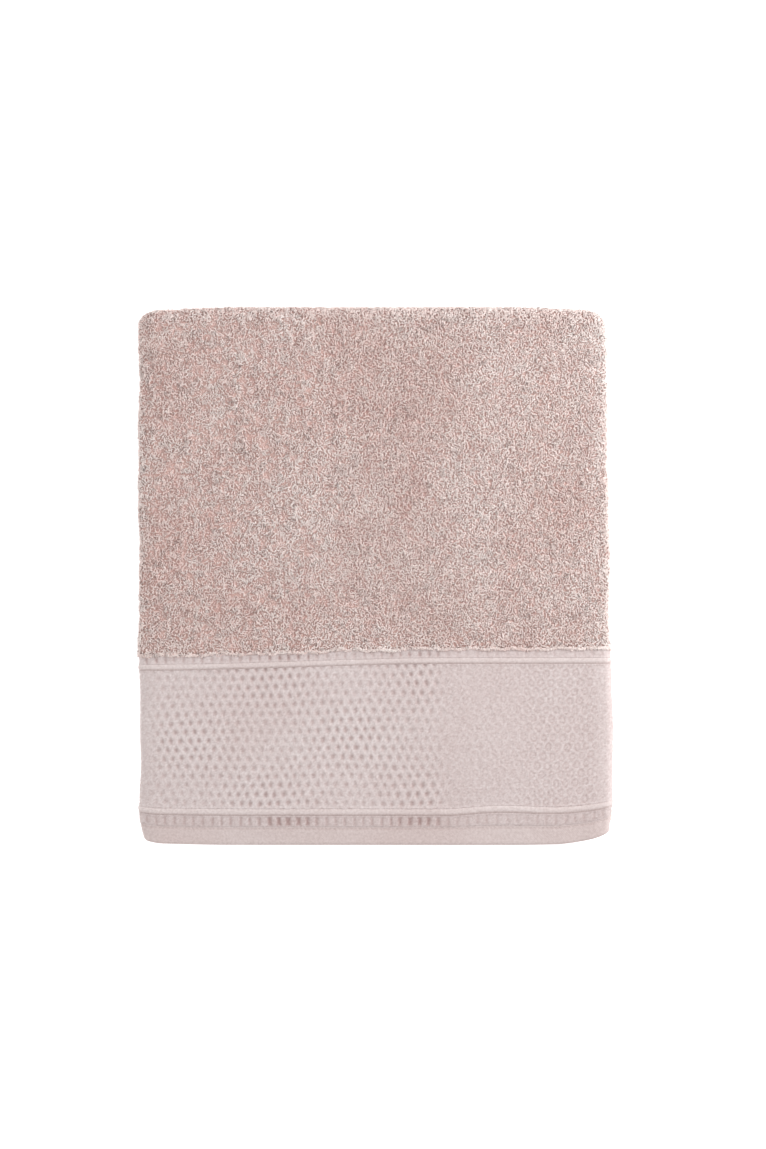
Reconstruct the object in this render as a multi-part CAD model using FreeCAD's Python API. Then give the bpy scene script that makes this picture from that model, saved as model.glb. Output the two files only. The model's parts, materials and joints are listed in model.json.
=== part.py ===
"""A cotton bath towel, folded in three across and in four along, lying flat.

Folding across lays the two side thirds, the flaps, behind the middle third.
Folding along is a concertina: four panels, stacked from the bottom as base,
third, second and front. Each panel turns about the crease that joins it to the
panel below. The front panel's free end is the lower end of the towel in use,
and shows its woven border and its hem.

X runs across the towel and Y from the front hem to the top creases. Z is up.
The origin is the centre of the underside. Sizes are in millimetres.
"""
import FreeCAD
import Part
import math
import os

# Folded size
FOLDED_WIDTH = 338.0  # side crease to side crease
CREASE_SPAN = 379.0  # top creases to lower crease
FRONT_OVERHANG = 9.0  # the front hem hangs this far past the lower crease

# Cloth
PLY = 4.0  # one thickness of terry, pile included
PLY_GAP = 0.15  # between plies of one panel
PANEL_GAP = 0.4  # between panels, which turn against each other
PLIES = 3

# Woven border: each zone's height along Y
HEM_HEIGHT = 13.0
LOWER_BAND_HEIGHT = 8.0
LOWER_CORD_HEIGHT = 5.0
WAFFLE_HEIGHT = 99.0
UPPER_CORD_HEIGHT = 4.3
UPPER_BAND_HEIGHT = 7.2

# Woven border: how far each zone's face lies behind the face of the pile
HEM_RECESS = 1.6
BAND_RECESS = 1.0
CORD_RECESS = 0.3
WAFFLE_RECESS = 0.9

# Side hems and sewing thread
SIDE_HEM_WIDTH = 11.0
THREAD_RADIUS = 0.2
THREAD_CLEARANCE = 0.02  # thread to the cloth that it lies on
SEAM_INSET = 1.5  # seam to the inner edge of its hem
THREAD_END_INSET = 8.0  # side crease to the end of a hem's thread

# Room for the plies and panels to lie in
FLAP_EDGE_CLEARANCE = 1.0  # left flap's free edge to the right crease
RIGHT_FLAP_INSET = 3.0  # right flap's free edge to the left side of the towel
BASE_END_CLEARANCE = 2.0  # base's free end to the front hem when it is swung past

# Derived sizes
PANEL_THICKNESS = PLIES * PLY + (PLIES - 1) * PLY_GAP
PANEL_PITCH = PANEL_THICKNESS + PANEL_GAP
THREAD_ROOM = 2 * (THREAD_RADIUS + THREAD_CLEARANCE)
CREASE_RADIUS = PANEL_THICKNESS + PANEL_GAP / 2
LEFT_CREASE_RADIUS = PLY + PLY_GAP / 2
RIGHT_CREASE_RADIUS = PANEL_THICKNESS / 2
HALF_WIDTH = FOLDED_WIDTH / 2
TOP_Y = (CREASE_SPAN + FRONT_OVERHANG) / 2
LOWER_CREASE_Y = TOP_Y - CREASE_SPAN
FRONT_END_Y = LOWER_CREASE_Y - FRONT_OVERHANG
BASE_END_Y = LOWER_CREASE_Y + FRONT_OVERHANG + BASE_END_CLEARANCE
FLAP_START_X = -HALF_WIDTH + LEFT_CREASE_RADIUS
FLAP_END_X = HALF_WIDTH - RIGHT_CREASE_RADIUS
X_AXIS = FreeCAD.Vector(1, 0, 0)
Y_AXIS = FreeCAD.Vector(0, 1, 0)


class Panel:
    """One quarter of the towel's length: where it lies, and which way its middle third faces."""

    def __init__(self, name, level, face_up, start_y, end_y):
        self.name = name
        self.bottom = level * PANEL_PITCH
        self.top = self.bottom + PANEL_THICKNESS
        self.face_up = face_up
        self.start_y = start_y
        self.end_y = end_y

    def height(self, depth):
        """Z of a point that lies this deep behind the face of the middle third."""
        return self.top - depth if self.face_up else self.bottom + depth

    def ply_depths(self, ply):
        """How deep the front and back of a ply lie: 0 is the middle third, 1 the left flap, 2 the right."""
        front = ply * (PLY + PLY_GAP)
        return front, front + PLY


BASE = Panel("base", 0, False, BASE_END_Y, TOP_Y - CREASE_RADIUS)
THIRD = Panel("third", 1, True, LOWER_CREASE_Y + CREASE_RADIUS, TOP_Y - CREASE_RADIUS)
SECOND = Panel("second", 2, False, LOWER_CREASE_Y + CREASE_RADIUS, TOP_Y - CREASE_RADIUS)
FRONT = Panel("front", 3, True, FRONT_END_Y, TOP_Y - CREASE_RADIUS)
PANELS = (BASE, THIRD, SECOND, FRONT)


def save(shape, name):
    """Write one piece of the towel."""
    shape.exportStep(os.path.join("parts", name + ".step"))


def block(x_range, y_range, z_range):
    """A box between two limits on each axis, the z limits in either order."""
    x_low, x_high = x_range
    y_low, y_high = y_range
    z_low, z_high = sorted(z_range)
    corner = FreeCAD.Vector(x_low, y_low, z_low)
    return Part.makeBox(x_high - x_low, y_high - y_low, z_high - z_low, corner)


def slab(panel, x_range, y_range, depths):
    """A flat stretch of cloth in a panel."""
    return block(x_range, y_range, [panel.height(depth) for depth in depths])


def side_crease(panel, centre_x, radius, side):
    """The half ring of cloth that joins the middle third to a flap; side is -1 at the left."""
    centre = FreeCAD.Vector(centre_x, panel.start_y, panel.height(radius))
    length = panel.end_y - panel.start_y
    outer = Part.makeCylinder(radius, length, centre, Y_AXIS)
    inner = Part.makeCylinder(radius - PLY, length, centre, Y_AXIS)
    x_range = sorted((centre_x, centre_x + side * radius))
    y_range = (panel.start_y, panel.end_y)
    half = slab(panel, x_range, y_range, (0, 2 * radius))
    return outer.cut(inner).common(half)


def flap(panel, crease, x_range, ply):
    """A side third, with the crease that it turns on."""
    flat = slab(panel, x_range, (panel.start_y, panel.end_y), panel.ply_depths(ply))
    return flat.fuse(crease).removeSplitter()


def left_flap(panel):
    """The flap that is folded in first, between the middle third and the right flap."""
    crease = side_crease(panel, FLAP_START_X, LEFT_CREASE_RADIUS, -1)
    free_edge = FLAP_END_X - FLAP_EDGE_CLEARANCE - SIDE_HEM_WIDTH
    return flap(panel, crease, (FLAP_START_X, free_edge), 1)


def right_flap(panel):
    """The flap that is folded in last, behind the other two."""
    crease = side_crease(panel, FLAP_END_X, RIGHT_CREASE_RADIUS, 1)
    free_edge = -HALF_WIDTH + RIGHT_FLAP_INSET + SIDE_HEM_WIDTH
    return flap(panel, crease, (free_edge, FLAP_END_X), 2)


def side_hem_range(ply):
    """The X limits of the side hem along a flap's free edge."""
    if ply == 1:
        end = FLAP_END_X - FLAP_EDGE_CLEARANCE
        return end - SIDE_HEM_WIDTH, end
    start = -HALF_WIDTH + RIGHT_FLAP_INSET
    return start, start + SIDE_HEM_WIDTH


def side_hem(panel, ply):
    """The turned and sewn hem along a flap's free edge, thinner than the pile by its thread's room."""
    front, back = panel.ply_depths(ply)
    depths = (front + THREAD_ROOM, back - THREAD_ROOM)
    return slab(panel, side_hem_range(ply), (panel.start_y, panel.end_y), depths)


def thread(start, direction, length):
    """A straight run of sewing thread."""
    return Part.makeCylinder(THREAD_RADIUS, length, start, direction)


def side_seam(panel, ply):
    """The thread along a side hem, beside the pile."""
    hem_start, hem_end = side_hem_range(ply)
    x = hem_start + SEAM_INSET if ply == 1 else hem_end - SEAM_INSET
    depth = panel.ply_depths(ply)[0] + THREAD_ROOM / 2
    start = FreeCAD.Vector(x, panel.start_y, panel.height(depth))
    return thread(start, Y_AXIS, panel.end_y - panel.start_y)


def crease_half(panel, neighbour, side):
    """A panel's half of a cross crease, as three nested quarter rings; side is -1 at the lower end."""
    crease_y = TOP_Y if side > 0 else LOWER_CREASE_Y
    centre_y = crease_y - side * CREASE_RADIUS
    middle_z = (max(panel.bottom, neighbour.bottom) + min(panel.top, neighbour.top)) / 2
    centre = FreeCAD.Vector(-HALF_WIDTH, centre_y, middle_z)
    y_range = sorted((centre_y, crease_y))
    quarter = block((-HALF_WIDTH, HALF_WIDTH), y_range, (panel.bottom, panel.top))
    rings = []
    for ply in range(PLIES):
        outer_radius = CREASE_RADIUS - ply * (PLY + PLY_GAP)
        outer = Part.makeCylinder(outer_radius, FOLDED_WIDTH, centre, X_AXIS)
        inner = Part.makeCylinder(outer_radius - PLY, FOLDED_WIDTH, centre, X_AXIS)
        rings.append(outer.cut(inner).common(quarter))
    return Part.makeCompound([solid for ring in rings for solid in ring.Solids])


def border_zones():
    """The zones of the woven border from the hem inwards: name, height along Y, recess."""
    return (
        ("hem", HEM_HEIGHT, HEM_RECESS),
        ("lower_cell_band", LOWER_BAND_HEIGHT, BAND_RECESS),
        ("lower_cord", LOWER_CORD_HEIGHT, CORD_RECESS),
        ("waffle_border", WAFFLE_HEIGHT, WAFFLE_RECESS),
        ("upper_cord", UPPER_CORD_HEIGHT, CORD_RECESS),
        ("upper_cell_band", UPPER_BAND_HEIGHT, BAND_RECESS),
    )


def border_height():
    """The whole border, hem included."""
    return sum(height for _, height, _ in border_zones())


def save_border(panel):
    """The border of a panel that ends in a hem, each zone as its own strip of the middle third."""
    start_y = panel.start_y
    for name, height, recess in border_zones():
        x_range = (FLAP_START_X, FLAP_END_X)
        strip = slab(panel, x_range, (start_y, start_y + height), (recess, PLY))
        save(strip, panel.name + "_" + name)
        start_y += height


def hem_seam(panel):
    """The thread that closes an end hem, on the face of the towel."""
    y = panel.start_y + HEM_HEIGHT - SEAM_INSET
    depth = HEM_RECESS - THREAD_ROOM / 2
    start = FreeCAD.Vector(-HALF_WIDTH + THREAD_END_INSET, y, panel.height(depth))
    return thread(start, X_AXIS, FOLDED_WIDTH - 2 * THREAD_END_INSET)


def save_panel(panel, has_end_hem):
    """One panel's plies, side hems and side seams."""
    start_y = panel.start_y + (border_height() if has_end_hem else 0)
    middle = slab(panel, (FLAP_START_X, FLAP_END_X), (start_y, panel.end_y), (0, PLY))
    save(middle, panel.name + "_middle_ply")
    save(left_flap(panel), panel.name + "_left_flap")
    save(right_flap(panel), panel.name + "_right_flap")
    save(side_hem(panel, 1), panel.name + "_left_side_hem")
    save(side_hem(panel, 2), panel.name + "_right_side_hem")
    seams = Part.makeCompound([side_seam(panel, 1), side_seam(panel, 2)])
    save(seams, panel.name + "_side_stitching")
    if has_end_hem:
        save_border(panel)
        save(hem_seam(panel), panel.name + "_hem_stitching")


def flat_width():
    """Width of the opened towel, along the middle of its cloth."""
    left_crease = math.pi * (LEFT_CREASE_RADIUS - PLY / 2)
    right_crease = math.pi * (RIGHT_CREASE_RADIUS - PLY / 2)
    middle = FLAP_END_X - FLAP_START_X
    left = side_hem_range(1)[1] - FLAP_START_X
    right = FLAP_END_X - side_hem_range(2)[0]
    return left + left_crease + middle + right_crease + right


def flat_length():
    """Length of the opened towel, along the middle of its cloth."""
    creases = (len(PANELS) - 1) * math.pi * CREASE_RADIUS / 2
    return creases + sum(panel.end_y - panel.start_y for panel in PANELS)


def main():
    """Write every piece."""
    os.makedirs("parts", exist_ok=True)
    for panel in PANELS:
        save_panel(panel, panel in (BASE, FRONT))
    save(crease_half(BASE, THIRD, 1), "base_top_crease")
    save(crease_half(THIRD, BASE, 1), "third_top_crease")
    save(crease_half(THIRD, SECOND, -1), "third_lower_crease")
    save(crease_half(SECOND, THIRD, -1), "second_lower_crease")
    save(crease_half(SECOND, FRONT, 1), "second_top_crease")
    save(crease_half(FRONT, SECOND, 1), "front_top_crease")
    print("folded thickness", round(PANELS[-1].top, 2))
    print("border height", round(border_height(), 1))
    print("opened flat", round(flat_width()), "by", round(flat_length()))


main()
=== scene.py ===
# %% [markdown]
# # A folded bath towel
# A cotton bath towel lies folded on a pale table: in three across, and in four along.
# It is one long piece of terry cloth with a woven border and a hem at each end.
# The towel is made here the way it is made in life. Every strip of cloth is worked
# out flat, with its loops, waffle cells, ribs and stitches, and is then laid into
# its folds by one function. So the same cloth runs over the face, round the creases
# and back under the flaps, and nothing has to be matched by hand at a fold.

# %% Load the frame
import json
import math

import bmesh
import bpy
import numpy as np
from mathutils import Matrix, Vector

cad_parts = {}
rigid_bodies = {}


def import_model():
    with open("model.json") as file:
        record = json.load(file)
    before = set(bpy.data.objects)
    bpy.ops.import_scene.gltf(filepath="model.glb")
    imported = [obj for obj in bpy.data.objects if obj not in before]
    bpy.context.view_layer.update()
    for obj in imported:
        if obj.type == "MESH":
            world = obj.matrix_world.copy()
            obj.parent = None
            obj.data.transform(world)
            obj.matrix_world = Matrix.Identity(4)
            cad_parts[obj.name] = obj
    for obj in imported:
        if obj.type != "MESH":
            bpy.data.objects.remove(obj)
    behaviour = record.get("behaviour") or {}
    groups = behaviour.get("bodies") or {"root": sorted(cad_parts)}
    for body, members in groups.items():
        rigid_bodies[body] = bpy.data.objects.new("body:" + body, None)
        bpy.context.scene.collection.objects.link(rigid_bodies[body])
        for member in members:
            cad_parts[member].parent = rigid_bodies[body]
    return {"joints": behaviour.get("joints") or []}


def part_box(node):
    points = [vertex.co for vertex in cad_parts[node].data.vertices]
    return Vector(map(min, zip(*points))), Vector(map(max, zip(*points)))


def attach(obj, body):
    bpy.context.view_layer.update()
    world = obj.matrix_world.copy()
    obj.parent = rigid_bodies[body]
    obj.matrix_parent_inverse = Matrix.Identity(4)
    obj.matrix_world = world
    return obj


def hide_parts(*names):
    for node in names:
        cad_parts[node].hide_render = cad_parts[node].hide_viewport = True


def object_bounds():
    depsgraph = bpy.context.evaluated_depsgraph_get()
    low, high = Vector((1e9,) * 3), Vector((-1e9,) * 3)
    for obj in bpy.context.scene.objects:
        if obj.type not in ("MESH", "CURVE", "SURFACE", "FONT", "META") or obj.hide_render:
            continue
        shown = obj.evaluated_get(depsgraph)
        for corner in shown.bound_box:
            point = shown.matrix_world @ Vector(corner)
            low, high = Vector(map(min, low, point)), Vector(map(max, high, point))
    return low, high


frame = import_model()
cad_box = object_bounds()
MM = 0.001
print("the folded towel measures", [round(high - low, 4) for low, high in zip(*cad_box)])

# %% [markdown]
# ## Camera
# The towel is shown as it would be in a shop's catalogue, from straight above.
# A long lens from far away keeps the sides of the stack out of sight and its edges
# parallel. The lens follows from the height and from how much table is to be seen.

# %% Set up the camera
SENSOR_SIZE = 36.0
CAMERA_ABOVE_TOWEL = 3.0
TABLE_SEEN = 823.0 * MM
CAMERA_RIGHT_OF_CENTRE = 6.5 * MM

bpy.ops.object.camera_add(
    location=(CAMERA_RIGHT_OF_CENTRE, 0, cad_box[1].z + CAMERA_ABOVE_TOWEL),
    rotation=(0, 0, 0),
)
camera = bpy.context.object
camera.name = "catalogue_camera"
camera.data.sensor_width = SENSOR_SIZE
camera.data.lens = SENSOR_SIZE * CAMERA_ABOVE_TOWEL / TABLE_SEEN
bpy.context.scene.camera = camera
print("lens", round(camera.data.lens, 1), "mm")

# %% [markdown]
# ## Helpers for the finishes
# A finish is a small graph of shader nodes. Two helpers keep each graph readable:
# one adds a node and sets or joins its inputs, and one mixes two colours. Colours
# are linear, as the shader works with them.

# %% Add nodes and mix colours
def new_finish(name, roughness, sheen):
    """An empty finish for cotton: dull, with a faint sheen from its fine fibres."""
    finish = bpy.data.materials.new(name)
    finish.use_nodes = True
    shader = finish.node_tree.nodes["Principled BSDF"]
    shader.inputs["Roughness"].default_value = roughness
    shader.inputs["Specular IOR Level"].default_value = 0.2
    shader.inputs["Sheen Weight"].default_value = sheen
    shader.inputs["Sheen Roughness"].default_value = 0.5
    return finish, finish.node_tree, shader


def add_node(tree, kind, inputs=None, **settings):
    """Add a node; an input is joined where it is given another node's socket."""
    node = tree.nodes.new("ShaderNode" + kind)
    for name, value in settings.items():
        setattr(node, name, value)
    for name, value in (inputs or {}).items():
        if isinstance(value, bpy.types.NodeSocket):
            tree.links.new(value, node.inputs[name])
        else:
            node.inputs[name].default_value = value
    return node


def mix_colours(tree, amount, first, second, blend="MIX"):
    """Mix two colours; each is a colour or another node's socket."""
    mix = add_node(tree, "Mix", data_type="RGBA", blend_type=blend)
    for index, value in ((0, amount), (6, first), (7, second)):
        if isinstance(value, bpy.types.NodeSocket):
            tree.links.new(value, mix.inputs[index])
        elif index == 0:
            mix.inputs[index].default_value = value
        else:
            mix.inputs[index].default_value = (*value, 1.0)
    return mix.outputs[2]


def spread(tree, value, low, high):
    """Stretch the part of a value between low and high over 0 to 1."""
    stretched = add_node(tree, "MapRange", {"Value": value, "From Min": low, "From Max": high})
    return stretched.outputs["Result"]


# %% [markdown]
# ## Table and light
# The table is a plain white sheet lit a little from within, as a photographer's light
# table is, and a white room lights it evenly. A soft lamp stands low at the upper
# right. It is near enough to make the right side of the towel brighter than the left,
# and it gives each loop of the pile a lit side and a shaded side. A weak second lamp
# keeps the left edge of the towel from going grey.

# %% Make the table and light it
ROOM_BRIGHTNESS = 0.83
TABLE_GLOW = 0.5
LAMP_SIZE = 0.5
LAMPS = {
    "soft_lamp": (9.0, (0.95, 0.45, 0.62)),
    "fill_lamp": (1.2, (-0.95, 0.1, 0.4)),
}

bpy.ops.mesh.primitive_plane_add(size=14)
table = bpy.context.object
table.name = "table"
table_finish, table_tree, table_shader = new_finish("white_table", 0.8, 0.0)
table_shader.inputs["Base Color"].default_value = (0.93, 0.93, 0.93, 1)
table_shader.inputs["Emission Color"].default_value = (1, 1, 1, 1)
table_shader.inputs["Emission Strength"].default_value = TABLE_GLOW
table.data.materials.append(table_finish)

bpy.context.scene.world = bpy.data.worlds.new("white_room")
bpy.context.scene.world.use_nodes = True
room = bpy.context.scene.world.node_tree.nodes["Background"]
room.inputs["Color"].default_value = (1, 1, 1, 1)
room.inputs["Strength"].default_value = ROOM_BRIGHTNESS
bpy.context.scene.view_settings.view_transform = "Standard"

for name, (power, place) in LAMPS.items():
    bpy.ops.object.light_add(type="AREA", location=place)
    lamp = bpy.context.object
    lamp.name = name
    lamp.data.size = LAMP_SIZE
    lamp.data.energy = power
    lamp.visible_camera = False
    lamp.rotation_euler = (-lamp.location).to_track_quat("-Z", "Y").to_euler()
print("lamps:", list(LAMPS))

# %% [markdown]
# ## The fold, across
# The two side thirds are folded behind the middle third: first the left one, close
# behind it, then the right one round both. A place across the flat towel is called
# `across`. On the middle third it is simply X. Beyond the left crease it runs on
# round a half circle and along the left flap, and likewise at the right. The
# function says where the middle of the cloth then lies, how deep behind the face,
# and which way the face of the cloth looks there.

# %% Fold across
middle_low, middle_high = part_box("front_middle_ply")
PLY = middle_high.z - middle_low.z
FOLD_LEFT = middle_low.x
FOLD_RIGHT = middle_high.x
LEFT_RADIUS = FOLD_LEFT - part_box("front_left_flap")[0].x
RIGHT_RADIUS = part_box("front_right_flap")[1].x - FOLD_RIGHT
HALF_WIDTH = FOLD_RIGHT + RIGHT_RADIUS
LEFT_BEND = LEFT_RADIUS - PLY / 2
RIGHT_BEND = RIGHT_RADIUS - PLY / 2
LEFT_TURN_END = FOLD_LEFT - math.pi * LEFT_BEND
RIGHT_TURN_END = FOLD_RIGHT + math.pi * RIGHT_BEND
LEFT_HEM_START = LEFT_TURN_END - (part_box("front_left_side_hem")[0].x - FOLD_LEFT)
LEFT_HEM_END = LEFT_TURN_END - (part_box("front_left_side_hem")[1].x - FOLD_LEFT)
RIGHT_HEM_START = RIGHT_TURN_END + FOLD_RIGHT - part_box("front_right_side_hem")[1].x
RIGHT_HEM_END = RIGHT_TURN_END + FOLD_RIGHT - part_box("front_right_side_hem")[0].x


def fold_across(across):
    """X, depth behind the face, and the face's direction in both, of the cloth's middle."""
    past_left = np.maximum(FOLD_LEFT - across, 0)
    past_right = np.maximum(across - FOLD_RIGHT, 0)
    left_angle = np.minimum(past_left / LEFT_BEND, math.pi)
    right_angle = np.minimum(past_right / RIGHT_BEND, math.pi)
    left_run = np.maximum(past_left - math.pi * LEFT_BEND, 0)
    right_run = np.maximum(past_right - math.pi * RIGHT_BEND, 0)
    x = np.clip(across, FOLD_LEFT, FOLD_RIGHT)
    x = x - np.sin(left_angle) * LEFT_BEND + left_run
    x = x + np.sin(right_angle) * RIGHT_BEND - right_run
    depth = PLY / 2 + (1 - np.cos(left_angle)) * LEFT_BEND
    depth = depth + (1 - np.cos(right_angle)) * RIGHT_BEND
    face_x = np.sin(right_angle) - np.sin(left_angle)
    face_depth = -np.cos(left_angle + right_angle)
    return x, depth, face_x, face_depth


print("opened flat, the towel is", round(RIGHT_HEM_END - LEFT_HEM_END, 4), "m wide")

# %% [markdown]
# ## The fold, along
# Along its length the towel is folded like a concertina into four panels. Where a
# panel meets the next one it turns through a quarter circle, and the neighbour's
# quarter completes the bend. The two quarters part at the line that the panels
# turn about, so the towel opens there like a book. A place along a panel is called
# `along`. On the flat it is Y, and past the end it runs on into the turn.

# %% Fold along
class Panel:
    """A quarter of the towel's length: its place in the stack and the bends at its ends."""

    def __init__(self, name):
        low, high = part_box(name + "_right_flap")
        self.name = name
        self.body = name + "_panel"
        self.bottom = low.z
        self.top = high.z
        self.start = low.y
        self.end = high.y
        self.face_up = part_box(name + "_middle_ply")[0].z > (low.z + high.z) / 2
        self.terry_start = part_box(name + "_middle_ply")[0].y
        joints = [j for j in frame["joints"] if self.body in (j["parent"], j["child"])]
        self.bends = {math.copysign(1, j["pos_m"][1]): j["pos_m"][2] for j in joints}

    def height(self, depth):
        """Z of a point that lies this deep behind the face of the middle third."""
        return self.top - depth if self.face_up else self.bottom + depth


BASE, THIRD, SECOND, FRONT = [Panel(name) for name in ("base", "third", "second", "front")]
PANELS = (BASE, THIRD, SECOND, FRONT)
TOP_CREASE = frame["joints"][0]["pos_m"][1]
CREASE_RADIUS = TOP_CREASE - FRONT.end
BEND_LENGTH = math.pi / 2 * CREASE_RADIUS / 2
OUTER_BEND_LENGTH = math.pi / 2 * CREASE_RADIUS


def fold_along(panel, along, depth):
    """Y and Z of a point at this depth behind the face."""
    y = np.clip(along, panel.start, panel.end)
    z = panel.height(depth)
    for side, bend_z in panel.bends.items():
        end = panel.end if side > 0 else panel.start
        angle = np.maximum(side * (along - end), 0) / BEND_LENGTH * math.pi / 2
        reach = z - bend_z
        y = y + side * np.abs(reach) * np.sin(angle)
        z = bend_z + reach * np.cos(angle)
    return y, z


print("the creases bend with a radius of", round(CREASE_RADIUS / MM, 2), "mm")

# %% [markdown]
# ## How the towel settles
# A folded towel is never a perfect block. Its corners are rounded, its edges wander a
# little, and the top sinks towards its rim and swells over the folds inside. The
# border of the front panel hangs a little askew: it climbs towards the right, and its
# lower corners are drawn in and lifted. These are small smooth moves of every point,
# whatever piece the point belongs to, so that all the pieces stay joined. Places in
# the moves are in metres from the middle of the towel.

# %% Let the towel settle
def ease(value, start, end):
    """A smooth ramp from 0 at start to 1 at end."""
    part = np.clip((value - start) / (end - start), 0, 1)
    return part * part * (3 - 2 * part)


CORNER_REACH = 17 * MM
CORNER_DROP = 9.5 * MM
CORNER_ROUNDNESS = 0.97
TOP_SLOPE = 2.2 * MM
TOP_TUCK = 1.4 * MM
TOP_PULL_REACH = 45 * MM
LOWER_PULL_REACH = 55 * MM


def round_corners(x, y):
    """Draw the ends of the creases in, so that the stack has rounded corners."""
    part = np.clip((np.abs(x) - HALF_WIDTH + CORNER_REACH) / CORNER_REACH, 0, 1)
    drop = CORNER_DROP * (1 - np.sqrt(1 - CORNER_ROUNDNESS * part**2))
    drop = drop + TOP_SLOPE * ease(np.abs(x), 0.1, HALF_WIDTH)
    top_pull = ease(y, TOP_CREASE - TOP_PULL_REACH, TOP_CREASE)
    lower_pull = ease(-y, TOP_CREASE - LOWER_PULL_REACH, TOP_CREASE)
    return y - (TOP_TUCK + drop) * top_pull + 0.5 * drop * lower_pull


RIGHT_OUT = 0.2 * MM
RIGHT_IN_AT_TOP = 1.9 * MM
RIGHT_OUT_AT_BORDER = 2.7 * MM
LEFT_OUT = 0.1 * MM
LEFT_OUT_AT_TOP = 0.2 * MM
LEFT_IN_AT_BORDER = 0.3 * MM
LONG_RIPPLE = 0.5 * MM
SHORT_RIPPLE = 0.3 * MM


def wander(x, y):
    """Let the side edges drift, narrower at the top creases than at the border."""
    at_border = ease(-y, 0.04, 0.08)
    right = RIGHT_OUT - RIGHT_IN_AT_TOP * ease(y, 0.02, 0.17) + RIGHT_OUT_AT_BORDER * at_border
    left = -LEFT_OUT - LEFT_OUT_AT_TOP * ease(y, 0.06, 0.18) + LEFT_IN_AT_BORDER * at_border
    ripple = LONG_RIPPLE * np.sin(y * 47 + 1.1) + SHORT_RIPPLE * np.sin(y * 113 + x * 9)
    return x + right * ease(x, 0.02, HALF_WIDTH) + left * ease(-x, 0.02, HALF_WIDTH) + ripple


BORDER_CLIMB = 5.0 * MM
RIB_RISE = 2.4 * MM
RIB_DIP = 1.3 * MM
RIB_CORNER_LIFT = 3.8 * MM
HEM_CORNER_LIFT = 8.6 * MM
HEM_TUCK = 4.2 * MM
HEM_SINK = 2.5 * MM


def drape_border(x, y):
    """Tilt and lift the front border, and draw its lower corners in."""
    upper = BORDER_CLIMB * ease(x, -HALF_WIDTH, 0.06)
    lower = RIB_RISE * ease(x, 0.05, 0.09) - RIB_DIP * ease(x, 0.095, 0.13)
    lower = lower + RIB_CORNER_LIFT * ease(x, 0.13, 0.185)
    hem = HEM_CORNER_LIFT * np.clip((x - 0.13) / 0.048, 0, 1.2) ** 1.7
    in_border = ease(-y, -0.1, 0.0575)
    to_cord = ease(-y, 0.06, 0.17)
    to_hem = ease(-y, 0.168, 0.194)
    lift = in_border * (upper * (1 - to_cord) + to_cord * (lower * (1 - to_hem) + hem * to_hem))
    tuck = HEM_TUCK * ease(-y, 0.176, 0.2) * ease(-x, 0.13, HALF_WIDTH)
    return x + tuck, y + lift


RIDGE_SWELL = 0.035
HOLLOW_SINK = 0.03
DIMPLES = 0.008
RIM_WIDTH = 15 * MM
RIM_SINK = 0.05


def swell(x, y):
    """How much the stack swells or sinks, as a share of its height."""
    ridge = RIDGE_SWELL * np.exp(-(((x - 0.055 - 0.12 * y) / 0.045) ** 2))
    hollow = -HOLLOW_SINK * np.exp(-(((x + 0.05 * y) / 0.04) ** 2))
    dimples = DIMPLES * np.sin(x * 43 + y * 17) * np.sin(y * 31 - x * 11 + 0.8)
    rim_x = np.clip((np.abs(x) - HALF_WIDTH + RIM_WIDTH) / RIM_WIDTH, 0, 1)
    rim_y = np.clip((y - TOP_CREASE + RIM_WIDTH) / RIM_WIDTH, 0, 1)
    return ridge + hollow + dimples - RIM_SINK * (rim_x**2 + rim_y**2)


def settle(panel, x, y, z):
    """Move points of a panel from the true fold to how the towel lies."""
    new_x = wander(x, y)
    new_y = round_corners(x, y)
    new_z = z * (1 + swell(x, y))
    if panel is FRONT:
        new_x, new_y = drape_border(new_x, new_y)
        new_z = new_z - HEM_SINK * ease(-y, 0.17, 0.2)
    return np.stack([new_x, new_y, new_z], axis=-1)


def lay(panel, across, along, height):
    """Where a point of the flat towel lies; height is above the cloth's middle, face side."""
    x, depth, face_x, face_depth = fold_across(across)
    x = x + face_x * height
    depth = depth + face_depth * height
    y, z = fold_along(panel, along, depth)
    return settle(panel, x, y, z)


print("the corners are drawn in by up to", round(CORNER_DROP / MM, 1), "mm")

# %% [markdown]
# ## Sheets of cloth
# A stretch of cloth is a closed shell: a fine grid for its face, a coarser one for
# its back, and walls round the edge. The face carries the relief, such as waffle
# cells, as real heights. Modelling it by hand from a plane would need the same folds
# again for each strip, so the grid is worked out in code and laid into the folds.

# %% Build pieces from points and faces
def piece_from(name, points, groups, values, flat=None):
    """A mesh object from points, groups of faces with equal corner counts, and point values."""
    corners = np.concatenate([group.ravel() for group in groups]).astype(np.int32)
    sizes = np.concatenate([np.full(len(group), group.shape[1]) for group in groups])
    starts = np.concatenate([[0], np.cumsum(sizes)[:-1]]).astype(np.int32)
    mesh = bpy.data.meshes.new(name)
    mesh.vertices.add(len(points))
    mesh.vertices.foreach_set("co", points.astype(np.float32).ravel())
    mesh.loops.add(len(corners))
    mesh.loops.foreach_set("vertex_index", corners)
    mesh.polygons.add(len(sizes))
    mesh.polygons.foreach_set("loop_start", starts)
    mesh.update(calc_edges=True)
    if mesh.validate():
        print(name, "had faces that were mended")
    mesh.shade_smooth()
    for label, value in values.items():
        layer = mesh.attributes.new(label, "FLOAT", "POINT")
        layer.data.foreach_set("value", value.astype(np.float32).ravel())
    if flat is not None:
        layer = mesh.uv_layers.new(name="flat_cloth")
        layer.data.foreach_set("uv", flat[corners].astype(np.float32).ravel())
    piece = bpy.data.objects.new(name, mesh)
    bpy.context.scene.collection.objects.link(piece)
    return piece


def coarse_steps(places, curved, step):
    """Which marks of a fine grid a coarse one keeps: every few, and all on a curve."""
    last = len(places) - 1
    return [i for i in range(last + 1) if i % step == 0 or curved[i] or i == last]


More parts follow.
